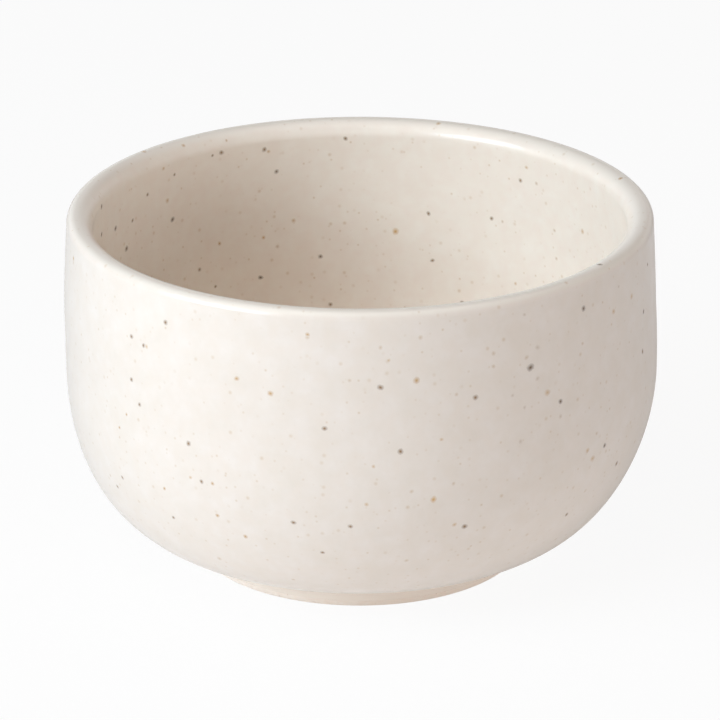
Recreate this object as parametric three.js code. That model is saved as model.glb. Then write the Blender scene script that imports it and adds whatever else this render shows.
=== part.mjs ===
// A deep, round-bellied stoneware ramekin on a turned foot ring.
// The fired clay carries three coats of glaze: one dipped outside, one poured inside and one
// in the well under the foot. The foot ring is wiped bare, so the pot stands on clay.
// Millimetres, +Z up, with the origin at the middle of the standing face.

import * as THREE from "three";

// The pot's form, measured over the glaze
const widestDiameter = 110;
const widestHeight = 36.9; // table to the fullest part of the belly
const overallHeight = 66.4; // table to the crest of the rim
const barrelRadius = 400; // side curve of the wall above the fullest part
const wallThickness = 4.9;
const rimOuterRadius = 1.7; // the rim is rounded tightly outside and softly inside
const rimFlatWidth = 0.25; // share of the wall that is kept between the two roundings
const floorThickness = 4.4; // underside of the belly to the floor inside
const flatFloorDiameter = 52; // level middle of the floor inside

// The foot ring, measured on the bare clay
const footDiameter = 62.4;
const footHeight = 5.4; // table to the underside of the belly
const footRingWidth = 5;
const footEdgeRadius = 0.7;
const footFilletRadius = 2.4; // hollow between the foot and the belly
const wellDepth = 3; // table to the glazed ceiling inside the ring
const wellFilletRadius = 1.2;

// The glaze
const glazeThickness = 0.4;
const bareFootHeight = 1.2; // table to the line where the glaze is wiped off

// Fineness of the turned surfaces
const turnSegments = 56;
const rimSteps = 3;
const wallSteps = 2;
const bellySteps = 7;
const filletSteps = 3;
const edgeSteps = 2;
const samePoint = 0.001; // points closer than this are one point

const clayMaterial = new THREE.MeshStandardMaterial({ color: 0xd8c3ab, roughness: 0.85, metalness: 0 });
const glazeMaterial = new THREE.MeshStandardMaterial({ color: 0xe9e3d8, roughness: 0.35, metalness: 0 });

const quarterTurn = Math.PI / 2;
const halfTurn = Math.PI;

// A part of an ellipse, from one angle to another, in the half plane of radius and height
function arc(centre, reachOut, reachUp, from, to, steps) {
  const curve = new THREE.EllipseCurve(centre.x, centre.y, reachOut, reachUp, from, to, to < from);
  return { curve, steps };
}

function line(startRadius, startHeight, endRadius, endHeight) {
  const start = new THREE.Vector2(startRadius, startHeight);
  const end = new THREE.Vector2(endRadius, endHeight);
  return { curve: new THREE.LineCurve(start, end), steps: 1 };
}

// Points along a run of curves that has the open air on its right, sunk into the pot by a depth
function pointsAlong(run, depth) {
  const points = [];
  for (const { curve, steps } of run) {
    for (let step = 0; step <= steps; step += 1) {
      const share = step / steps;
      const heading = curve.getTangent(share);
      const inward = new THREE.Vector2(-heading.y, heading.x);
      const point = curve.getPoint(share).addScaledVector(inward, depth);
      const last = points.at(-1);
      if (!last || last.distanceTo(point) > samePoint) {
        points.push(point);
      }
    }
  }
  return points;
}

// A mesh turned about the Z axis from a profile that has the open air on its right
function turned(name, profile, material) {
  const geometry = new THREE.LatheGeometry(profile, turnSegments);
  geometry.rotateX(quarterTurn);
  const mesh = new THREE.Mesh(geometry, material);
  mesh.name = name;
  return mesh;
}

// The well under the foot, from its middle out and down to the wiped line
const footRadius = footDiameter / 2;
const ringInnerRadius = footRadius - footRingWidth;
const wellRadius = ringInnerRadius - glazeThickness;
const wellFillet = Math.min(wellFilletRadius, wellDepth - bareFootHeight);
const wellFilletCentre = new THREE.Vector2(wellRadius - wellFillet, wellDepth - wellFillet);
const wellRun = [
  line(0, wellDepth, wellFilletCentre.x, wellDepth),
  arc(wellFilletCentre, wellFillet, wellFillet, quarterTurn, 0, filletSteps),
  line(wellRadius, wellFilletCentre.y, wellRadius, bareFootHeight),
];

// The bare foot ring, from the wiped line inside to the wiped line outside
const footEdge = Math.min(footEdgeRadius, bareFootHeight);
const innerEdgeCentre = new THREE.Vector2(ringInnerRadius + footEdge, footEdge);
const outerEdgeCentre = new THREE.Vector2(footRadius - footEdge, footEdge);
const footRun = [
  line(ringInnerRadius, bareFootHeight, ringInnerRadius, footEdge),
  arc(innerEdgeCentre, footEdge, footEdge, halfTurn, halfTurn + quarterTurn, edgeSteps),
  line(innerEdgeCentre.x, 0, outerEdgeCentre.x, 0),
  arc(outerEdgeCentre, footEdge, footEdge, -quarterTurn, 0, edgeSteps),
  line(footRadius, footEdge, footRadius, bareFootHeight),
];

// A rounding that touches the crest of the rim and runs into the curve of the wall
function rimRounding(radius, reach) {
  const lean = Math.asin((overallHeight - radius - widestHeight) / reach);
  const centre = new THREE.Vector2(barrelCentre.x + reach * Math.cos(lean), overallHeight - radius);
  return { radius, lean, centre };
}

// The outside, from the wiped line up the foot, round the belly and up the wall to the crest
const widestRadius = widestDiameter / 2;
const glazedFootRadius = footRadius + glazeThickness;
const footFillet = Math.min(footFilletRadius, footHeight - bareFootHeight);
const footFilletCentre = new THREE.Vector2(glazedFootRadius + footFillet, footHeight - footFillet);
const bellyCentre = new THREE.Vector2(footFilletCentre.x, widestHeight);
const bellyReach = widestRadius - bellyCentre.x;
const bellyDrop = widestHeight - footHeight;
const barrelCentre = new THREE.Vector2(widestRadius - barrelRadius, widestHeight);
const outerRim = rimRounding(rimOuterRadius, barrelRadius - rimOuterRadius);
const outsideRun = [
  line(glazedFootRadius, bareFootHeight, glazedFootRadius, footFilletCentre.y),
  arc(footFilletCentre, footFillet, footFillet, halfTurn, quarterTurn, filletSteps),
  arc(bellyCentre, bellyReach, bellyDrop, -quarterTurn, 0, bellySteps),
  arc(barrelCentre, barrelRadius, barrelRadius, 0, outerRim.lean, wallSteps),
  arc(outerRim.centre, outerRim.radius, outerRim.radius, outerRim.lean, quarterTurn, rimSteps),
];

// The inside, from the crest down the wall and round to the middle of the floor
const floorHeight = footHeight + floorThickness;
const flatFloorRadius = flatFloorDiameter / 2;
const innerBarrelRadius = barrelRadius - wallThickness;
const rimInnerRadius = wallThickness - rimOuterRadius - rimFlatWidth;
const innerRim = rimRounding(rimInnerRadius, innerBarrelRadius + rimInnerRadius);
const innerBellyCentre = new THREE.Vector2(flatFloorRadius, widestHeight);
const innerBellyReach = widestRadius - wallThickness - flatFloorRadius;
const innerBellyDrop = widestHeight - floorHeight;
const insideRun = [
  line(outerRim.centre.x, overallHeight, innerRim.centre.x, overallHeight),
  arc(innerRim.centre, innerRim.radius, innerRim.radius, quarterTurn, halfTurn + innerRim.lean, rimSteps),
  arc(barrelCentre, innerBarrelRadius, innerBarrelRadius, innerRim.lean, 0, wallSteps),
  arc(innerBellyCentre, innerBellyReach, innerBellyDrop, 0, -quarterTurn, bellySteps),
  line(flatFloorRadius, floorHeight, 0, floorHeight),
];

// The clay's skin lies one coat under the finished surface wherever it is glazed
const clayWell = pointsAlong(wellRun, glazeThickness);
const clayOutside = pointsAlong(outsideRun, glazeThickness);
const clayInside = pointsAlong(insideRun, glazeThickness);
const bareFoot = pointsAlong(footRun, 0);
const clayProfile = [
  ...clayWell.slice(0, -1),
  ...bareFoot.slice(0, -1),
  ...clayOutside.slice(0, -1),
  ...clayInside,
];

// A coat fills the space between its own surface and the clay's, and its section closes on itself
// or ends on the axis
const wellCoat = [...pointsAlong(wellRun, 0), ...clayWell.toReversed()];
const innerCoat = [...clayInside.toReversed(), ...pointsAlong(insideRun, 0)];
const outerSurface = pointsAlong(outsideRun, 0);
const outerCoat = [...outerSurface, ...clayOutside.toReversed(), outerSurface[0]];

const ramekin = new THREE.Group();
ramekin.add(turned("stoneware_body", clayProfile, clayMaterial));
ramekin.add(turned("outer_glaze", outerCoat, glazeMaterial));
ramekin.add(turned("inner_glaze", innerCoat, glazeMaterial));
ramekin.add(turned("well_glaze", wellCoat, glazeMaterial));

export default ramekin;
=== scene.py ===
"""Looks of a speckled stoneware ramekin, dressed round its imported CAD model.

The pot is a fired clay body with a satin cream glaze outside and inside, a glazed well under a bare
turned foot ring, and iron grains that show through the glaze as dark and ochre specks.
"""
import logging
import math
import random
from collections.abc import Sequence
from dataclasses import dataclass
from enum import Enum

import bmesh
import bpy
from mathutils import Matrix, Vector, noise
from mathutils.bvhtree import BVHTree


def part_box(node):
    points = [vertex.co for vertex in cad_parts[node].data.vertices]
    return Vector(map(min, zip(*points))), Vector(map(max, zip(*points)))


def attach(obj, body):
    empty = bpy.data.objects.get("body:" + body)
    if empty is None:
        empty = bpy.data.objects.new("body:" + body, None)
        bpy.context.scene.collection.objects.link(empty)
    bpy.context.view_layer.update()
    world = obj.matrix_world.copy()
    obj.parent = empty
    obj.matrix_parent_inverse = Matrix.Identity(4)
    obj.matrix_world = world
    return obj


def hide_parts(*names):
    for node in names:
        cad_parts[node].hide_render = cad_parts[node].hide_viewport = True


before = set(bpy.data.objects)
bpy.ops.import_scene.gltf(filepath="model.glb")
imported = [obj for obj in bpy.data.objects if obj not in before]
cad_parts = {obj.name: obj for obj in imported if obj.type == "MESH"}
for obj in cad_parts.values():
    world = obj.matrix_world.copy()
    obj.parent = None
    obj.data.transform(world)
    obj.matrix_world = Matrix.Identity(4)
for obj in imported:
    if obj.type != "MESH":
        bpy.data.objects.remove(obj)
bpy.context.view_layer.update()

LOG = logging.getLogger("ramekin")
MM = 0.001
QUARTER_TURN = math.pi / 2
HALF_TURN = math.pi
WHITE = (1.0, 1.0, 1.0, 1.0)


def linear(hex_colour: str) -> tuple[float, float, float, float]:
    """Turns an sRGB hex colour to linear light.

    Args:
        hex_colour: Six hex digits.

    Returns:
        Red, green, blue and an alpha of 1.
    """
    shares = [int(hex_colour[place : place + 2], 16) / 255 for place in (0, 2, 4)]
    lit = [share / 12.92 if share <= 0.04045 else ((share + 0.055) / 1.055) ** 2.4 for share in shares]
    return (lit[0], lit[1], lit[2], 1.0)


def add_node(tree: bpy.types.NodeTree, kind: str, inputs: dict | None = None, **settings) -> bpy.types.Node:
    """Adds one node with its settings, constant inputs and links.

    Args:
        tree: The node tree to add to.
        kind: Blender's name of the node type.
        inputs: Input name or index to a constant or to the output socket that feeds it.
        **settings: Properties of the node.

    Returns:
        The new node.
    """
    node = tree.nodes.new(kind)
    for name, value in settings.items():
        setattr(node, name, value)
    for key, value in (inputs or {}).items():
        if isinstance(value, bpy.types.NodeSocket):
            tree.links.new(value, node.inputs[key])
        else:
            node.inputs[key].default_value = value
    return node


def empty_material(name: str) -> bpy.types.Material:
    """Makes a material with an empty node tree.

    Args:
        name: The material's name.

    Returns:
        The material.
    """
    material = bpy.data.materials.new(name)
    material.use_nodes = True
    material.node_tree.nodes.clear()
    return material


Colour = bpy.types.NodeSocket | tuple[float, float, float, float]
Level = bpy.types.NodeSocket | float


def mixed(tree: bpy.types.NodeTree, share: bpy.types.NodeSocket, first: Colour, second: Colour) -> Colour:
    """Mixes two colours.

    Args:
        tree: The node tree to add to.
        share: How much of the second colour shows.
        first: A socket or a colour.
        second: A socket or a colour.

    Returns:
        The socket of the mixed colour.
    """
    first_colour, second_colour, result = 6, 7, 2
    inputs = {0: share, first_colour: first, second_colour: second}
    return add_node(tree, "ShaderNodeMix", inputs, data_type="RGBA").outputs[result]


def ramp(
    tree: bpy.types.NodeTree,
    value: bpy.types.NodeSocket,
    span: tuple[float, float],
    levels: tuple[Level, Level],
    smooth: bool = False,
) -> bpy.types.NodeSocket:
    """Turns a span of values to a span of levels.

    Args:
        tree: The node tree to add to.
        value: The value.
        span: The values at which the ramp starts and ends.
        levels: The levels there.
        smooth: Whether the ramp eases in and out.

    Returns:
        The level.
    """
    inputs = {
        "Value": value,
        "From Min": span[0],
        "From Max": span[1],
        "To Min": levels[0],
        "To Max": levels[1],
    }
    kind = "SMOOTHSTEP" if smooth else "LINEAR"
    return add_node(tree, "ShaderNodeMapRange", inputs, interpolation_type=kind).outputs["Result"]


def product(tree: bpy.types.NodeTree, first: bpy.types.NodeSocket, second: Level) -> bpy.types.NodeSocket:
    """Multiplies two levels.

    Args:
        tree: The node tree to add to.
        first: The first level.
        second: The second level.

    Returns:
        The product.
    """
    return add_node(tree, "ShaderNodeMath", {0: first, 1: second}, operation="MULTIPLY").outputs["Value"]


def grain_cells(
    tree: bpy.types.NodeTree, place: bpy.types.NodeSocket, spacing: float
) -> bpy.types.NodeOutputs:
    """Adds cells that each hold one grain.

    Args:
        tree: The node tree to add to.
        place: Object coordinates.
        spacing: Distance between the grains.

    Returns:
        The distance from the nearest grain, in spacings, and a chance colour for each grain.
    """
    return add_node(tree, "ShaderNodeTexVoronoi", {"Vector": place, "Scale": 1 / spacing}).outputs


def finished(material: bpy.types.Material, inputs: dict) -> bpy.types.Material:
    """Gives a material its surface.

    Args:
        material: The material.
        inputs: Inputs of the surface's shader.

    Returns:
        The same material.
    """
    tree = material.node_tree
    shader = add_node(tree, "ShaderNodeBsdfPrincipled", inputs)
    add_node(tree, "ShaderNodeOutputMaterial", {"Surface": shader.outputs["BSDF"]})
    return material


@dataclass(frozen=True)
class Clouds:
    """Soft clouds in a finish: their size in metres, how fine they are, and how they fade in."""

    size: float
    detail: float
    roughness: float = 0.5
    fade: tuple[float, float] = (0.0, 1.0)
    share: float = 1.0

    def pattern(self, tree: bpy.types.NodeTree, place: bpy.types.NodeSocket) -> bpy.types.NodeSocket:
        """Adds the noise that the clouds follow.

        Args:
            tree: The node tree to add to.
            place: Object coordinates.

        Returns:
            The noise.
        """
        inputs = {
            "Vector": place,
            "Scale": 1 / self.size,
            "Detail": self.detail,
            "Roughness": self.roughness,
        }
        return add_node(tree, "ShaderNodeTexNoise", inputs).outputs["Fac"]

    def shown(self, tree: bpy.types.NodeTree, pattern: bpy.types.NodeSocket) -> bpy.types.NodeSocket:
        """How much of the clouds shows where their noise has a value."""
        return ramp(tree, pattern, self.fade, (0.0, self.share))


@dataclass(frozen=True)
class Pepper:
    """One size of the faint tan grains in the glaze, in metres."""

    spacing: float
    width: float
    strength: float


@dataclass(frozen=True)
class SatinGlaze:
    """Satin cream stoneware glaze, dipped outside or poured inside, and fired.

    Fired glaze gives the eye a soft sheen that sharpens on the rounded rim, a faint mottle where iron
    bled from the clay, a fine tan pepper, a warmer tone where it runs thin over the foot, made paler
    there as painted light where the belly shades it, and a paler tone over the crest of the rim, where
    both coats share one colour and the paler tone is painted light on its upward-facing top.
    """

    name: str = "dipped_satin_glaze"
    cream: str = "F1E6DD"
    mottle: str = "E5D8C9"
    blush: str = "EDDFD2"
    # Warmer and paler towards the foot: the warmth is glaze running thin, the paler tone is painted light
    # where the belly shades the foot
    thin_and_lit: str = "FDF0E3"
    # Paler colour over the rim's crest: painted light on its upward-facing top, shared by both coats where
    # they overlap
    overlap_and_crest_light: str = "F8F0E5"
    pepper: str = "C6A26C"
    mottle_clouds: Clouds = Clouds(5.0 * MM, 3.0, 0.6, fade=(0.25, 0.75), share=0.55)
    blush_clouds: Clouds = Clouds(2.4 * MM, 1.0, fade=(0.35, 0.70), share=0.45)
    peppers: tuple[Pepper, ...] = (
        Pepper(2.8 * MM, 1.15 * MM, 0.40),
        Pepper(1.8 * MM, 0.75 * MM, 0.42),
    )
    thin_and_lit_heights: tuple[float, float] = (7.0 * MM, 1.2 * MM)
    thin_and_lit_share: float = 0.8
    overlap_and_crest_light_heights: tuple[float, float] = (65.3 * MM, 66.2 * MM)
    roughness: tuple[float, float] = (0.22, 0.265)
    ior: float = 1.52

    def material(self) -> bpy.types.Material:
        """Builds the glaze's material.

        Returns:
            The material.
        """
        material = empty_material(self.name)
        tree = material.node_tree
        place = add_node(tree, "ShaderNodeTexCoord").outputs["Object"]
        mottle = self.mottle_clouds.pattern(tree, place)
        mottled = self.mottle_clouds.shown(tree, mottle)
        blushing = self.blush_clouds.shown(tree, self.blush_clouds.pattern(tree, place))
        height = add_node(tree, "ShaderNodeSeparateXYZ", {"Vector": place}).outputs["Z"]
        # Both coats take one paler colour over the crest: painted light on the rim's upward-facing top
        overlap_and_crest_lightening = ramp(tree, height, self.overlap_and_crest_light_heights, (0.0, 1.0), smooth=True)
        # Towards the foot the glaze runs thin and warm, and is painted paler as light standing in for the
        # belly's shade
        thinness_and_lift = ramp(tree, height, self.thin_and_lit_heights, (0.0, self.thin_and_lit_share), smooth=True)
        colour = mixed(tree, mottled, linear(self.cream), linear(self.mottle))
        colour = mixed(tree, blushing, colour, linear(self.blush))
        colour = mixed(tree, overlap_and_crest_lightening, colour, linear(self.overlap_and_crest_light))
        for pepper in self.peppers:
            colour = self.peppered(tree, place, colour, pepper)
        colour = mixed(tree, thinness_and_lift, colour, linear(self.thin_and_lit))
        roughness = ramp(tree, mottle, self.mottle_clouds.fade, self.roughness)
        return finished(material, {"Base Color": colour, "Roughness": roughness, "IOR": self.ior})

    def peppered(
        self,
        tree: bpy.types.NodeTree,
        place: bpy.types.NodeSocket,
        colour: bpy.types.NodeSocket,
        pepper: Pepper,
    ) -> bpy.types.NodeSocket:
        """Scatters one size of faint grains over a colour.

        Args:
            tree: The material's node tree.
            place: Object coordinates.
            colour: The colour so far.
            pepper: The grains.

        Returns:
            The peppered colour.
        """
        cells = grain_cells(tree, place, pepper.spacing)
        reach = pepper.width / 2 / pepper.spacing
        near = ramp(tree, cells["Distance"], (reach, 0.0), (0.0, 1.0), smooth=True)
        chance = add_node(tree, "ShaderNodeSeparateColor", {"Color": cells["Color"]}).outputs["Red"]
        share = product(tree, near, product(tree, chance, pepper.strength))
        return mixed(tree, share, colour, linear(self.pepper))


@dataclass(frozen=True)
class BareClay:
    """Bare fired stoneware, turned and wiped: matt, sandy and warm, with fine darker grit."""

    clay: str = "F6E4D4"
    grit: str = "D2BDA8"
    sand: str = "FAF0E6"
    sand_clouds: Clouds = Clouds(1.1 * MM, 5.0)
    sand_depth: float = 0.006 * MM
    grit_spacing: float = 1.2 * MM
    grit_width: float = 0.28 * MM
    grit_share: float = 0.8
    roughness: float = 0.85
    ior: float = 1.5

    def material(self) -> bpy.types.Material:
        """Builds the clay's material.

        Returns:
            The material.
        """
        material = empty_material("bare_fired_stoneware")
        tree = material.node_tree
        place = add_node(tree, "ShaderNodeTexCoord").outputs["Object"]
        sand = self.sand_clouds.pattern(tree, place)
        colour = mixed(tree, sand, linear(self.clay), linear(self.sand))
        cells = grain_cells(tree, place, self.grit_spacing)
        reach = self.grit_width / 2 / self.grit_spacing
        gritty = ramp(tree, cells["Distance"], (reach, reach / 2), (0.0, self.grit_share))
        colour = mixed(tree, gritty, colour, linear(self.grit))
        relief = {"Height": sand, "Distance": self.sand_depth, "Strength": 1.0}
        sandy = add_node(tree, "ShaderNodeBump", relief).outputs["Normal"]
        surface = {"Base Color": colour, "Roughness": self.roughness, "IOR": self.ior, "Normal": sandy}
        return finished(material, surface)


@dataclass(frozen=True)
class IronBloom:
    """Iron grains melted into the glaze: dark or ochre cores that bleed softly into it."""

    attribute: str = "bloom"
    roughness: float = 0.25
    ior: float = 1.52

    def material(self) -> bpy.types.Material:
        """Builds the specks' material, which reads each grain's own colour.

        Returns:
            The material.
        """
        material = empty_material("iron_bloom_in_glaze")
        tree = material.node_tree
        colour = add_node(tree, "ShaderNodeAttribute", attribute_name=self.attribute).outputs["Color"]
        return finished(material, {"Base Color": colour, "Roughness": self.roughness, "IOR": self.ior})


@dataclass(frozen=True)
class Arc:
    """A stretch of an ellipse in the half plane of radius and height.

    The centre and the reach are pairs of radius and height, and the angles are in radians.
    """

    centre: Vector
    reach: Vector
    start: float
    end: float
    steps: int

    def samples(self) -> list[tuple[Vector, Vector]]:
        """Samples the stretch.

        Returns:
            Pairs of a point and the unit heading there.
        """
        way = math.copysign(1.0, self.end - self.start)
        found = []
        for step in range(self.steps + 1):
            angle = self.start + (self.end - self.start) * step / self.steps
            out, up = math.cos(angle), math.sin(angle)
            point = self.centre + Vector((self.reach.x * out, self.reach.y * up))
            heading = Vector((-self.reach.x * up, self.reach.y * out)) * way
            found.append((point, heading.normalized()))
        return found


@dataclass(frozen=True)
class Straight:
    """A straight stretch in the half plane of radius and height."""

    start: Vector
    end: Vector
    steps: int

    def samples(self) -> list[tuple[Vector, Vector]]:
        """Samples the stretch.

        Returns:
            Pairs of a point and the unit heading there.
        """
        heading = (self.end - self.start).normalized()
        return [(self.start.lerp(self.end, step / self.steps), heading) for step in range(self.steps + 1)]


Run = list[Arc | Straight]
SAME_POINT = 0.0005 * MM


def sunk(run: Run, depth: float = 0.0) -> list[Vector]:
    """Points along a run that has the open air on its right, sunk into the pot.

    Args:
        run: The stretches, in order.
        depth: How far under the run's own surface the points lie.

    Returns:
        Points in the half plane of radius and height.
    """
    points: list[Vector] = []
    for stretch in run:
        for point, heading in stretch.samples():
            lower = point + Vector((-heading.y, heading.x)) * depth
            if not points or (points[-1] - lower).length > SAME_POINT:
                points.append(lower)
    return points


@dataclass(frozen=True)
class Fineness:
    """Into how many steps each stretch of the section is divided."""

    barrel: int = 16
    belly: int = 40
    outer_rim: int = 24
    inner_rim: int = 32
    fillet: int = 10
    foot_side: int = 4
    foot_edge: int = 8
    foot_ring: int = 8
    bead: int = 6
    level: int = 12
    short: int = 2


@dataclass(frozen=True)
class PotForm:
    """Half section of the pot, measured over the glaze, in metres."""

    widest_radius: float
    crest_height: float
    wiped_height: float
    glaze: float
    ring_inner_radius: float
    well_depth: float
    floor_height: float
    widest_height: float = 36.9 * MM
    barrel_radius: float = 400 * MM
    wall: float = 4.9 * MM
    rim_outer: float = 1.7 * MM
    rim_flat: float = 0.25 * MM
    flat_floor_radius: float = 26 * MM
    foot_radius: float = 31.2 * MM
    foot_height: float = 5.4 * MM
    foot_edge: float = 0.7 * MM
    foot_fillet: float = 2.4 * MM
    well_fillet: float = 1.2 * MM
    wiped_edge: float = 0.1 * MM
    steps: Fineness = Fineness()

    @classmethod
    def from_frame(cls) -> "PotForm":
        """Takes what the CAD nodes' boxes give.

        Returns:
            The form.
        """
        outer_low, outer_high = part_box("outer_glaze")
        clay_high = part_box("stoneware_body")[1]
        well_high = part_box("well_glaze")[1]
        lining_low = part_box("inner_glaze")[0]
        glaze = outer_high.x - clay_high.x
        return cls(
            widest_radius=outer_high.x,
            crest_height=outer_high.z,
            wiped_height=outer_low.z,
            glaze=glaze,
            ring_inner_radius=well_high.x,
            well_depth=well_high.z - glaze,
            floor_height=lining_low.z + glaze,
        )

    @property
    def barrel_centre(self) -> Vector:
        """The centre of the wall's side curve."""
        return Vector((self.widest_radius - self.barrel_radius, self.widest_height))

    def rim_rounding(self, radius: float, reach: float) -> tuple[Vector, float]:
        """A rounding that touches the crest of the rim and runs into the curve of the wall.

        Args:
            radius: Radius of the rounding.
            reach: Distance of its centre from the centre of the wall's side curve.

        Returns:
            The rounding's centre, and the lean of the wall where the two meet.
        """
        lean = math.asin((self.crest_height - radius - self.widest_height) / reach)
        return self.barrel_centre + Vector((math.cos(lean), math.sin(lean))) * reach, lean

    @property
    def outer_rim(self) -> tuple[Vector, float]:
        """The rim's outer rounding: its centre, and the lean of the wall where the two meet."""
        return self.rim_rounding(self.rim_outer, self.barrel_radius - self.rim_outer)

    def barrel(self, radius: float, start: float, end: float) -> Arc:
        """The wall above the fullest part.

        Args:
            radius: Radius of its side curve.
            start: Angle to start at.
            end: Angle to end at.

        Returns:
            The stretch.
        """
        return Arc(self.barrel_centre, Vector((radius, radius)), start, end, self.steps.barrel)

    def outside(self) -> Run:
        """From the wiped line up the foot, round the belly and up the wall to the crest.

        Returns:
            The stretches.
        """
        side = self.foot_radius + self.glaze
        hollow = Vector((side + self.foot_fillet, self.foot_height - self.foot_fillet))
        fillet = Vector((self.foot_fillet, self.foot_fillet))
        belly = Vector((hollow.x, self.widest_height))
        belly_reach = Vector((self.widest_radius - belly.x, self.widest_height - self.foot_height))
        crest, lean = self.outer_rim
        rim = Vector((self.rim_outer, self.rim_outer))
        wiped = self.wiped_height + self.glaze
        return [
            Straight(Vector((side, wiped)), Vector((side, hollow.y)), self.steps.foot_side),
            Arc(hollow, fillet, HALF_TURN, QUARTER_TURN, self.steps.fillet),
            Arc(belly, belly_reach, -QUARTER_TURN, 0.0, self.steps.belly),
            self.barrel(self.barrel_radius, 0.0, lean),
            Arc(crest, rim, lean, QUARTER_TURN, self.steps.outer_rim),
        ]

    def inside(self) -> Run:
        """From the crest down the wall and round to the middle of the floor.

        Returns:
            The stretches.
        """
        belly = Vector((self.flat_floor_radius, self.widest_height))
        reach = Vector((
            self.widest_radius - self.wall - self.flat_floor_radius,
            self.widest_height - self.floor_height,
        ))
        level = Vector((self.flat_floor_radius, self.floor_height))
        outer_crest, _ = self.outer_rim
        radius = self.wall - self.rim_outer - self.rim_flat
        crest, lean = self.rim_rounding(radius, self.barrel_radius - self.wall + radius)
        flat_start = Vector((outer_crest.x, self.crest_height))
        flat_end = Vector((crest.x, self.crest_height))
        return [
            Straight(flat_start, flat_end, self.steps.short),
            Arc(crest, Vector((radius, radius)), QUARTER_TURN, HALF_TURN + lean, self.steps.inner_rim),
            self.barrel(self.barrel_radius - self.wall, lean, 0.0),
            Arc(belly, reach, 0.0, -QUARTER_TURN, self.steps.belly),
            Straight(level, Vector((0.0, self.floor_height)), self.steps.level),
        ]

    def well(self) -> Run:
        """From the middle of the well's ceiling out and down its side.

        Returns:
            The stretches.
        """
        radius = self.ring_inner_radius - self.glaze
        turn = Vector((radius - self.well_fillet, self.well_depth - self.well_fillet))
        fillet = Vector((self.well_fillet, self.well_fillet))
        wiped = self.wiped_height + self.glaze
        return [
            Straight(Vector((0.0, self.well_depth)), Vector((turn.x, self.well_depth)), self.steps.level),
            Arc(turn, fillet, QUARTER_TURN, 0.0, self.steps.fillet),
            Straight(Vector((radius, turn.y)), Vector((radius, wiped)), self.steps.short),
        ]

    def foot(self) -> Run:
        """The bare ring, from the wiped line inside round to the wiped line outside.

        Returns:
            The stretches.
        """
        edge = Vector((self.foot_edge, self.foot_edge))
        inner = Vector((self.ring_inner_radius + self.foot_edge, self.foot_edge))
        outer = Vector((self.foot_radius - self.foot_edge, self.foot_edge))
        inner_line = Vector((self.ring_inner_radius, self.wiped_height))
        outer_line = Vector((self.foot_radius, self.wiped_height))
        return [
            Straight(inner_line, Vector((inner_line.x, inner.y)), self.steps.short),
            Arc(inner, edge, HALF_TURN, HALF_TURN + QUARTER_TURN, self.steps.foot_edge),
            Straight(Vector((inner.x, 0.0)), Vector((outer.x, 0.0)), self.steps.foot_ring),
            Arc(outer, edge, -QUARTER_TURN, 0.0, self.steps.foot_edge),
            Straight(Vector((outer_line.x, outer.y)), outer_line, self.steps.short),
        ]

    def bead(self, radius: float, start: float, size: float) -> Arc:
        """The rounded edge of a coat at the wiped line.

        Args:
            radius: Radius of the clay that the edge lies on.
            start: Angle to start at.
            size: Thickness of the coat there.

        Returns:
            The stretch.
        """
        centre = Vector((radius, self.wiped_height + size))
        return Arc(centre, Vector((size, size)), start, start + QUARTER_TURN, self.steps.bead)

    def clay_section(self) -> list[Vector]:
        """The clay's section, from the axis under the floor round to the axis above it.

        Returns:
            Points in the half plane of radius and height.
        """
        return [
            *sunk(self.well(), self.glaze),
            *sunk(self.foot()),
            *sunk(self.outside(), self.glaze),
            *sunk(self.inside(), self.glaze),
        ]

    def outer_section(self) -> list[Vector]:
        """The closed section of the coat outside, which wiping has thinned on the side of the foot.

        Returns:
            Points in the half plane of radius and height.
        """
        bead = self.bead(self.foot_radius, -QUARTER_TURN, self.wiped_edge)
        side, *above = self.outside()
        thinned = Straight(bead.centre + Vector((self.wiped_edge, 0.0)), side.end, side.steps)
        face = sunk([bead, thinned, *above])
        back = sunk(self.outside(), self.glaze)
        return [*face, *reversed(back)]

    def inner_section(self) -> list[Vector]:
        """The lining's section, from axis to axis."""
        return [*reversed(sunk(self.inside(), self.glaze)), *sunk(self.inside())]

    def well_section(self) -> list[Vector]:
        """The section of the coat in the well, from axis to axis."""
        face = sunk([*self.well(), self.bead(self.ring_inner_radius, HALF_TURN, self.glaze)])
        return [*face, *reversed(sunk(self.well(), self.glaze))]


@dataclass(frozen=True)
class KilnWarp:
    """The slight unevenness that turning, drying and firing leave in a pot."""

    radius: float
    height: float
    oval: float = 0.08 * MM
    oval_lobes: int = 2
    oval_turn: float = 0.7
    sway: float = 0.27 * MM
    sway_height: float = 24.5 * MM
    sway_length: float = 50 * MM
    rim_tilt: float = 0.18 * MM
    rim_wave: float = 0.05 * MM
    wave_lobes: int = 3
    wave_turn: float = 1.1
    ripple: float = 0.05 * MM
    ripple_size: float = 16 * MM

    def moved(self, point: Vector) -> Vector:
        """Moves a point of the true form to where firing left it.

        Args:
            point: A point of the true form.

        Returns:
            The moved point.
        """
        lift = point.z / self.height
        angle = math.atan2(point.y, point.x)
        out = Vector((math.cos(angle), math.sin(angle), 0.0))
        swell = self.oval * math.cos(self.oval_lobes * angle + self.oval_turn)
        swell += self.ripple * noise.noise(point / self.ripple_size)
        # The sway ends half a wave above and below its middle
        waves = max(-0.5, min(0.5, (point.z - self.sway_height) / self.sway_length))
        side = self.sway * math.sin(math.tau * waves)
        wave = self.rim_tilt * point.x / self.radius
        wave += self.rim_wave * math.sin(self.wave_lobes * angle + self.wave_turn)
        return point + out * swell * lift + Vector((side, 0.0, wave * lift**2))


QUARTER_STEPS = 48
WELD = 0.0001 * MM
SHARP_ANGLE = math.radians(30)


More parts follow.
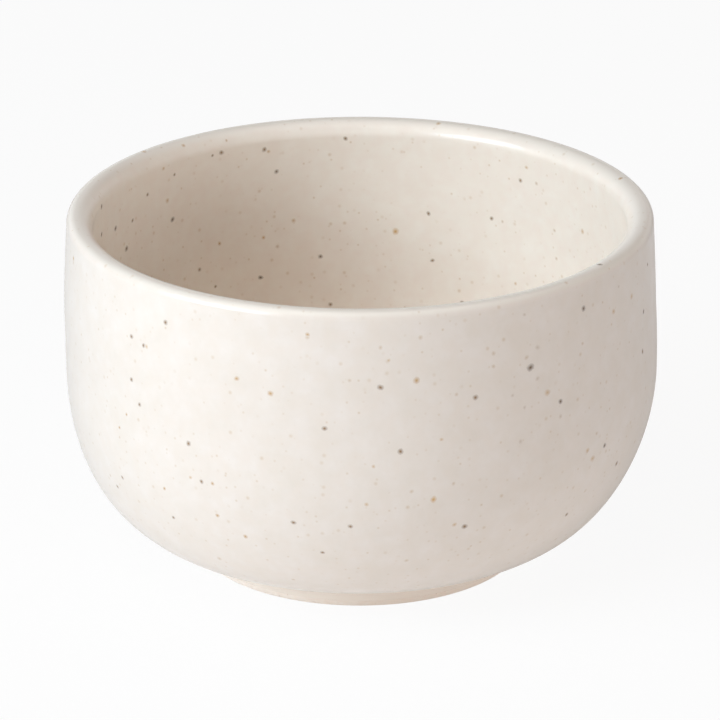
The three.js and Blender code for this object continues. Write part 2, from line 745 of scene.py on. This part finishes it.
def linked(name: str, shape: bmesh.types.BMesh, material: bpy.types.Material) -> bpy.types.Object:
    """Turns a finished bmesh to an object of the scene.

    Args:
        name: The object's name.
        shape: The bmesh, which is freed.
        material: The object's material.

    Returns:
        The object.
    """
    mesh = bpy.data.meshes.new(name)
    shape.to_mesh(mesh)
    shape.free()
    mesh.shade_smooth()
    mesh.set_sharp_from_angle(angle=SHARP_ANGLE)
    mesh.materials.append(material)
    made = bpy.data.objects.new(name, mesh)
    bpy.context.scene.collection.objects.link(made)
    LOG.info("%s: %d faces", name, len(mesh.polygons))
    return made


def turned(section: Sequence[Vector], closed: bool, warp: KilnWarp) -> bmesh.types.BMesh:
    """Turns a section a quarter about the Z axis, mirrors it twice and warps it as the kiln did.

    Args:
        section: Points in the half plane of radius and height.
        closed: Whether the section closes on itself and not on the axis.
        warp: The unevenness.

    Returns:
        The solid.
    """
    shape = bmesh.new()
    ring = [shape.verts.new((point.x, 0.0, point.y)) for point in section]
    for first, second in zip(ring, ring[1:]):
        shape.edges.new((first, second))
    if closed:
        shape.edges.new((ring[-1], ring[0]))
    bmesh.ops.spin(
        shape,
        geom=shape.verts[:] + shape.edges[:],
        cent=(0.0, 0.0, 0.0),
        axis=(0.0, 0.0, 1.0),
        angle=QUARTER_TURN,
        steps=QUARTER_STEPS,
    )
    for axis in ("X", "Y"):
        whole = shape.verts[:] + shape.edges[:] + shape.faces[:]
        bmesh.ops.mirror(shape, geom=whole, matrix=Matrix.Identity(4), merge_dist=WELD, axis=axis)
    bmesh.ops.remove_doubles(shape, verts=shape.verts, dist=WELD)
    bmesh.ops.recalc_face_normals(shape, faces=shape.faces)
    for vert in shape.verts:
        vert.co = warp.moved(vert.co)
    return shape


@dataclass
class Pot:
    """The clay body and its three coats of glaze."""

    form: PotForm
    warp: KilnWarp
    dipped: SatinGlaze
    poured: SatinGlaze
    clay: BareClay

    def build(self) -> dict[str, bpy.types.Object]:
        """Builds and dresses the four pieces.

        Returns:
            Piece name to object.
        """
        dipped = self.dipped.material()
        poured = self.poured.material()
        clay = self.clay.material()
        plan = (
            ("clay_body", self.form.clay_section(), False, clay, "stoneware_body", "stoneware_clay"),
            ("outer_coat", self.form.outer_section(), True, dipped, "outer_glaze", "speckled_glaze"),
            ("inner_coat", self.form.inner_section(), False, poured, "inner_glaze", "speckled_glaze"),
            ("well_coat", self.form.well_section(), False, dipped, "well_glaze", "speckled_glaze"),
        )
        made = {}
        for name, section, closed, material, node, slot in plan:
            piece = linked(name, turned(section, closed, self.warp), material)
            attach(piece, "root")
            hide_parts(node)
            made[name] = piece
        return made


@dataclass(frozen=True)
class PhotoView:
    """The camera, at the photograph's viewing angle, and the rays through its pixels.

    The lens and the sensor are in millimetres, and the other lengths in metres.
    """

    middle: Vector
    elevation: float = math.radians(21.79)
    distance: float = 827.5 * MM
    lens: float = 221.26
    sensor: float = 36.0
    frame_pixels: int = 720
    aim_rise: float = 2.82 * MM
    clip_end: float = 20.0

    @property
    def back(self) -> Vector:
        """The direction from the pot to the camera."""
        return Vector((0.0, -math.cos(self.elevation), math.sin(self.elevation)))

    @property
    def up(self) -> Vector:
        """The picture's upward direction."""
        return Vector((0.0, math.sin(self.elevation), math.cos(self.elevation)))

    @property
    def eye(self) -> Vector:
        """Where the camera stands."""
        return self.middle + self.up * self.aim_rise + self.back * self.distance

    def ray(self, column: float, row: float) -> Vector:
        """The direction through a pixel of the photograph.

        Args:
            column: Pixel from the left.
            row: Pixel from the top.

        Returns:
            The direction from the camera.
        """
        pixel = self.sensor / self.frame_pixels
        middle_pixel = (self.frame_pixels - 1) / 2
        right = (column - middle_pixel) * pixel
        down = (row - middle_pixel) * pixel
        return (Vector((right, 0.0, 0.0)) - self.up * down - self.back * self.lens).normalized()

    def add_camera(self) -> None:
        """Adds the camera and makes it the scene's own."""
        data = bpy.data.cameras.new("photo_camera")
        data.lens = self.lens
        data.sensor_width = self.sensor
        data.clip_end = self.clip_end
        camera = bpy.data.objects.new("photo_camera", data)
        camera.location = self.eye
        camera.rotation_mode = "QUATERNION"
        camera.rotation_quaternion = (-self.back).to_track_quat("-Z", "Y")
        bpy.context.scene.collection.objects.link(camera)
        bpy.context.scene.camera = camera


class Grain(Enum):
    """The kinds of iron grain, with the colour of the core."""

    IRON = "62441C"
    BROWN = "855E24"
    UMBER = "C69D64"
    HAZE = "D9C8B7"
    HONEY = "D3A55C"
    OCHRE = "D7B994"
    TAN = "DAC5AE"


# Where the photograph shows specks: column, row and width in millimetres, for each kind of grain
SEEN_SPECKS: dict[Grain, tuple[tuple[float, float, float], ...]] = {
    Grain.IRON: (
        (530, 367, 0.90), (560, 401, 0.64), (583, 308, 0.68), (643, 311, 0.60), (604, 445, 0.62),
        (276, 171, 0.60), (172, 219, 0.70), (101, 206, 0.74), (115, 228, 0.70), (101, 234, 0.68),
        (126, 248, 0.75), (260, 277, 0.62), (320, 256, 0.60), (599, 264, 0.76),
    ),
    Grain.BROWN: (
        (165, 322, 0.62), (131, 336, 0.58), (143, 345, 0.52), (131, 379, 0.58), (188, 443, 0.65),
        (201, 481, 0.55), (324, 428, 0.64), (293, 522, 0.58), (350, 526, 0.56), (322, 552, 0.50),
        (464, 526, 0.70), (380, 387, 0.68), (221, 152, 0.64), (264, 149, 0.64), (345, 138, 0.60),
        (428, 213, 0.58), (520, 180, 0.58), (491, 218, 0.56), (432, 260, 0.54), (400, 451, 0.68),
        (475, 397, 0.66), (642, 351, 0.66), (616, 463, 0.68), (566, 514, 0.57), (647, 264, 0.53),
        (174, 174, 0.42), (132, 220, 0.52), (147, 194, 0.50), (139, 404, 0.54), (173, 517, 0.50),
        (122, 477, 0.50), (117, 486, 0.50), (212, 155, 0.40), (199, 269, 0.54), (215, 286, 0.44),
        (330, 304, 0.56),
    ),
    Grain.UMBER: (
        (212, 483, 0.48), (236, 378, 0.62), (270, 393, 0.66), (164, 488, 0.48), (217, 515, 0.56),
        (245, 536, 0.58), (416, 380, 0.78), (219, 243, 0.54), (263, 237, 0.50), (620, 178, 0.74),
        (126, 414, 0.42), (119, 427, 0.42), (307, 334, 0.50), (73, 258, 0.66),
    ),
    Grain.HAZE: (
        (618, 286, 0.45), (524, 314, 0.45), (537, 378, 0.56), (560, 416, 0.54), (537, 347, 0.66),
        (520, 441, 0.60), (512, 395, 0.46), (524, 407, 0.46),
    ),
    Grain.HONEY: (
        (395, 231, 0.86), (433, 499, 0.80),
    ),
    Grain.OCHRE: (
        (146, 346, 0.50), (190, 477, 0.45), (366, 504, 0.53), (454, 524, 0.58),
        (547, 392, 0.80), (613, 311, 0.70), (631, 296, 0.76), (587, 450, 0.66), (592, 458, 0.80),
        (268, 151, 0.50), (143, 151, 0.80), (183, 145, 0.58), (163, 168, 0.50), (167, 200, 0.62),
        (226, 140, 0.38), (293, 220, 0.58), (438, 123, 0.68), (526, 167, 0.52),
        (582, 231, 0.72), (515, 283, 0.45), (441, 439, 0.45), (388, 360, 0.44), (373, 466, 0.46),
    ),
    Grain.TAN: (
        (307, 337, 0.50), (110, 475, 0.45), (219, 558, 0.66), (406, 560, 0.52),
        (293, 579, 0.52), (73, 262, 0.60), (277, 246, 0.52), (536, 183, 0.52),
        (502, 221, 0.42), (554, 230, 0.50), (556, 258, 0.50), (420, 337, 0.55), (380, 347, 0.50),
        (493, 353, 0.55), (493, 366, 0.50), (526, 357, 0.60), (582, 343, 0.45), (596, 433, 0.45),
        (453, 483, 0.48), (411, 491, 0.50), (456, 394, 0.48), (349, 380, 0.50),
    ),
}


@dataclass
class Specks:
    """The iron grains that stand a hair proud of the glaze."""

    view: PhotoView
    coats: Sequence[bpy.types.Object]
    finish: IronBloom
    unseen_count: int = 190
    unseen_widths: tuple[float, float] = (0.45 * MM, 0.80 * MM)
    unseen_lowest: float = 4 * MM
    outside_share: float = 0.6
    outside_start: float = 200 * MM
    even_reach: float = 60 * MM
    thickness: float = 0.10 * MM
    proud: float = 0.018 * MM
    bleed: float = 1.90
    dipped: str = "EEE2D8"
    # Edge colour of specks in the lining, matching the lining's paler copy of the glaze, which is painted
    # light
    lining: str = "F9F0E4"
    same_spot: float = 1 * MM
    stretches: tuple[float, float] = (1.0, 1.12)
    jitters: tuple[float, float] = (0.86, 1.14)
    grain_sides: int = 9
    grain_rings: int = 8
    seed: int = 11

    def surface(self) -> BVHTree:
        """Joins the coats to one surface that rays can meet.

        Returns:
            The surface.
        """
        joined = bmesh.new()
        for coat in self.coats:
            joined.from_mesh(coat.data)
        tree = BVHTree.FromBMesh(joined)
        joined.free()
        return tree

    def build(self) -> bpy.types.Object:
        """Sets the grains into the glaze and dresses them.

        Returns:
            The piece that holds every grain.
        """
        surface = self.surface()
        chance = random.Random(self.seed)
        pattern = self.round_grain()
        shape = bmesh.new()
        bloom = shape.verts.layers.float_color.new(self.finish.attribute)
        for kind, marks in SEEN_SPECKS.items():
            for column, row, width in marks:
                spot, normal, _, _ = surface.ray_cast(self.view.eye, self.view.ray(column, row))
                if spot:
                    made = self.copied(shape, pattern)
                    self.shape_grain(surface, made, bloom, chance, kind, spot, normal, width * MM)
        for kind, spot, normal, width in self.unseen(surface, chance):
            made = self.copied(shape, pattern)
            self.shape_grain(surface, made, bloom, chance, kind, spot, normal, width)
        bpy.data.meshes.remove(pattern)
        piece = linked("iron_specks", shape, self.finish.material())
        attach(piece, "root")
        return piece

    def unseen(self, surface: BVHTree, chance: random.Random) -> list[tuple[Grain, Vector, Vector, float]]:
        """Scatters grains evenly over the sides that the photograph does not show.

        Rays through the middle of the pot crowd on what is near and faces it, so some of those are dropped.

        Args:
            surface: The glaze.
            chance: The seeded source of chance.

        Returns:
            Kind, place, normal and width of each grain.
        """
        found = []
        kinds = list(SEEN_SPECKS)
        weights = [len(marks) for marks in SEEN_SPECKS.values()]
        middle = self.view.middle
        while len(found) < self.unseen_count:
            way = Vector((chance.gauss(0, 1), chance.gauss(0, 1), chance.gauss(0, 1))).normalized()
            outside = chance.random() < self.outside_share
            start = middle + way * self.outside_start if outside else middle
            kind = chance.choices(kinds, weights)[0]
            width = chance.uniform(*self.unseen_widths)
            keep = chance.random()
            spot, normal, _, _ = surface.ray_cast(start, -way if outside else way)
            if spot is None or spot.z < self.unseen_lowest:
                continue
            away = spot - middle
            if keep > away.length**3 / abs(away.dot(normal)) / self.even_reach**2:
                continue
            seen, _, _, _ = surface.ray_cast(self.view.eye, (spot - self.view.eye).normalized())
            if seen is None or (seen - spot).length > self.same_spot:
                found.append((kind, spot, normal, width))
        return found

    def round_grain(self) -> bpy.types.Mesh:
        """Makes the ball of a few dozen faces that every grain starts from.

        Returns:
            The ball.
        """
        ball = bmesh.new()
        bmesh.ops.create_uvsphere(
            ball, u_segments=self.grain_sides, v_segments=self.grain_rings, radius=1.0
        )
        mesh = bpy.data.meshes.new("round_grain")
        ball.to_mesh(mesh)
        ball.free()
        return mesh

    def copied(self, shape: bmesh.types.BMesh, pattern: bpy.types.Mesh) -> list[bmesh.types.BMVert]:
        """Adds a copy of a mesh to a bmesh.

        Args:
            shape: The bmesh that gets the copy.
            pattern: The mesh.

        Returns:
            The copy's vertices.
        """
        before = len(shape.verts)
        shape.from_mesh(pattern)
        shape.verts.ensure_lookup_table()
        return shape.verts[before:]

    def shape_grain(
        self,
        surface: BVHTree,
        made: list[bmesh.types.BMVert],
        bloom: bmesh.types.BMLayerItem,
        chance: random.Random,
        kind: Grain,
        spot: Vector,
        normal: Vector,
        width: float,
    ) -> None:
        """Flattens, colours and sinks one grain along the glaze, so that only its crown stands out.

        Args:
            surface: The glaze.
            made: The grain's vertices, on a ball of radius 1.
            bloom: The layer of the grains' colours.
            chance: The seeded source of chance.
            kind: The kind of grain.
            spot: Its place on the glaze.
            normal: The glaze's normal there.
            width: Its width as it shows.
        """
        sink = self.thickness - self.proud
        shown = math.sqrt(1 - (sink / self.thickness) ** 2)
        stretch = chance.uniform(*self.stretches)
        half = width / 2 / shown * self.bleed
        inward = spot.xy.dot(normal.xy) < 0
        core = Vector(linear(kind.value))
        edge = Vector(linear(self.lining if inward else self.dipped))
        size = Matrix.Diagonal((half * stretch, half / stretch, 1.0, 1.0))
        spin = Matrix.Rotation(chance.uniform(0, math.tau), 4, "Z")
        turn = normal.to_track_quat("Z", "Y").to_matrix().to_4x4()
        place = Matrix.Translation(spot) @ turn @ spin @ size
        for vert in made:
            out = math.hypot(vert.co.x, vert.co.y)
            vert[bloom] = core.lerp(edge, min(1.0, out / shown))
            jitter = chance.uniform(*self.jitters)
            level = place @ Vector((vert.co.x * jitter, vert.co.y * jitter, 0.0))
            foot, upward, _, _ = surface.find_nearest(level)
            vert.co = foot + upward * (vert.co.z * self.thickness - sink)


@dataclass(frozen=True)
class Softbox:
    """One soft lamp that faces the pot, with its angles in degrees and its lengths in metres."""

    name: str
    azimuth: float
    elevation: float
    distance: float
    width: float
    height: float
    watts: float
    tint: str
    mirrored: bool = True

    def add(self, middle: Vector) -> None:
        """Adds the lamp.

        Args:
            middle: The point that it faces.
        """
        across, rise = math.radians(self.azimuth), math.radians(self.elevation)
        way = Vector((
            math.sin(across) * math.cos(rise),
            -math.cos(across) * math.cos(rise),
            math.sin(rise),
        ))
        data = bpy.data.lights.new(self.name, "AREA")
        data.shape = "RECTANGLE"
        data.size = self.width
        data.size_y = self.height
        data.energy = self.watts
        data.color = linear(self.tint)[:3]
        lamp = bpy.data.objects.new(self.name, data)
        lamp.visible_glossy = self.mirrored
        lamp.location = middle + way * self.distance
        lamp.rotation_mode = "QUATERNION"
        lamp.rotation_quaternion = (-way).to_track_quat("-Z", "Y")
        bpy.context.scene.collection.objects.link(lamp)
        LOG.info("%s: %.1f W", self.name, self.watts)


@dataclass
class Studio:
    """A plain white table in a white room, under soft light."""

    middle: Vector
    floor_half: float = 3.0
    floor_colour: str = "F7F7F7"
    floor_lift: float = 0.92
    floor_mirrored: float = 0.22
    floor_glow: float = 0.19
    room_mirrored: float = 1.0
    ambient: float = 0.16
    ceiling: float = 0.15
    wall_top: float = math.radians(10)
    ceiling_from: float = math.radians(40)
    lamps: tuple[Softbox, ...] = (
        Softbox("key_softbox", -57.0, 27.0, 1.1, 0.72, 0.45, 9.45, "E0F2FF"),
        Softbox("upper_softbox", -45.0, 58.0, 1.2, 0.90, 0.70, 3.25, "FFF7F0"),
        Softbox("overhead_softbox", 0.0, 88.0, 1.2, 1.0, 1.0, 2.7, "FFE9DC"),
        Softbox("low_fill", -5.0, 6.0, 1.4, 1.0, 0.4, 3.0, "FFF6F0", mirrored=False),
        Softbox("right_fill", 90.0, 9.0, 1.4, 1.0, 0.42, 4.8, "FBFCFF", mirrored=False),
    )

    def build(self) -> None:
        """Adds the floor, the lamps and the world."""
        scene = bpy.context.scene
        scene.view_settings.view_transform = "Standard"
        shape = bmesh.new()
        bmesh.ops.create_grid(shape, x_segments=1, y_segments=1, size=self.floor_half)
        floor = linked("white_table", shape, self.floor_material())
        for lamp in self.lamps:
            lamp.add(self.middle)
        self.add_world()

    def level(
        self, tree: bpy.types.NodeTree, plain: Level, mirrored: Level, seen: Level
    ) -> bpy.types.NodeSocket:
        """Picks a level by the kind of ray that arrives.

        Args:
            tree: The node tree to add to.
            plain: The level for light that is scattered.
            mirrored: The level for glossy and transmission rays.
            seen: The level for camera rays.

        Returns:
            The level.
        """
        rays = add_node(tree, "ShaderNodeLightPath").outputs
        mirror = add_node(
            tree,
            "ShaderNodeMath",
            {0: rays["Is Glossy Ray"], 1: rays["Is Transmission Ray"]},
            operation="MAXIMUM",
        ).outputs["Value"]
        unseen = ramp(tree, mirror, (0.0, 1.0), (plain, mirrored))
        return ramp(tree, rays["Is Camera Ray"], (0.0, 1.0), (unseen, seen))

    def floor_material(self) -> bpy.types.Material:
        """White acrylic table, softly lit through: white where it is seen, and shaded by the pot.

        Returns:
            The material.
        """
        material = empty_material("white_acrylic_table")
        tree = material.node_tree
        lift = self.level(tree, self.floor_glow, self.floor_mirrored, self.floor_lift)
        base = linear(self.floor_colour)
        acrylic = add_node(tree, "ShaderNodeBsdfDiffuse", {"Color": base}).outputs["BSDF"]
        white = add_node(tree, "ShaderNodeEmission", {"Color": WHITE}).outputs["Emission"]
        seen = add_node(tree, "ShaderNodeMixShader", {0: lift, 1: acrylic, 2: white}).outputs["Shader"]
        add_node(tree, "ShaderNodeOutputMaterial", {"Surface": seen})
        return material

    def add_world(self) -> None:
        """Shows a white room, and lights dimly from its pale walls and dark ceiling."""
        world = bpy.data.worlds.new("plain_white_room")
        world.use_nodes = True
        tree = world.node_tree
        tree.nodes.clear()
        way = add_node(tree, "ShaderNodeTexCoord").outputs["Generated"]
        rise = add_node(tree, "ShaderNodeSeparateXYZ", {"Vector": way}).outputs["Z"]
        heights = (math.sin(self.wall_top), math.sin(self.ceiling_from))
        room = ramp(tree, rise, heights, (1.0, self.ceiling), smooth=True)
        plain = product(tree, room, self.ambient)
        mirrored = product(tree, room, self.room_mirrored)
        strength = self.level(tree, plain, mirrored, 1.0)
        sky = add_node(tree, "ShaderNodeBackground", {"Color": WHITE, "Strength": strength})
        add_node(tree, "ShaderNodeOutputWorld", {"Surface": sky.outputs["Background"]})
        bpy.context.scene.world = world


def main() -> None:
    """Builds the pot, its specks and the studio, in order."""
    logging.basicConfig(level=logging.INFO, format="%(name)s: %(message)s")
    form = PotForm.from_frame()
    middle = Vector((0.0, 0.0, form.crest_height / 2))
    view = PhotoView(middle)
    view.add_camera()
    warp = KilnWarp(form.widest_radius, form.crest_height)
    # The photograph shows the lining paler and warmer than the dipped coat, and the lining's copy of the
    # glaze is painted so: painted light, standing in for light that falls into the bowl
    poured = SatinGlaze(name="lining_glaze_painted_paler", cream="FCF4E9", mottle="F6EADC", blush="F8EADE")
    pot = Pot(form, warp, SatinGlaze(), poured, BareClay()).build()
    Specks(view, (pot["outer_coat"], pot["inner_coat"]), IronBloom()).build()
    Studio(middle).build()


if __name__ == "__main__":
    main()
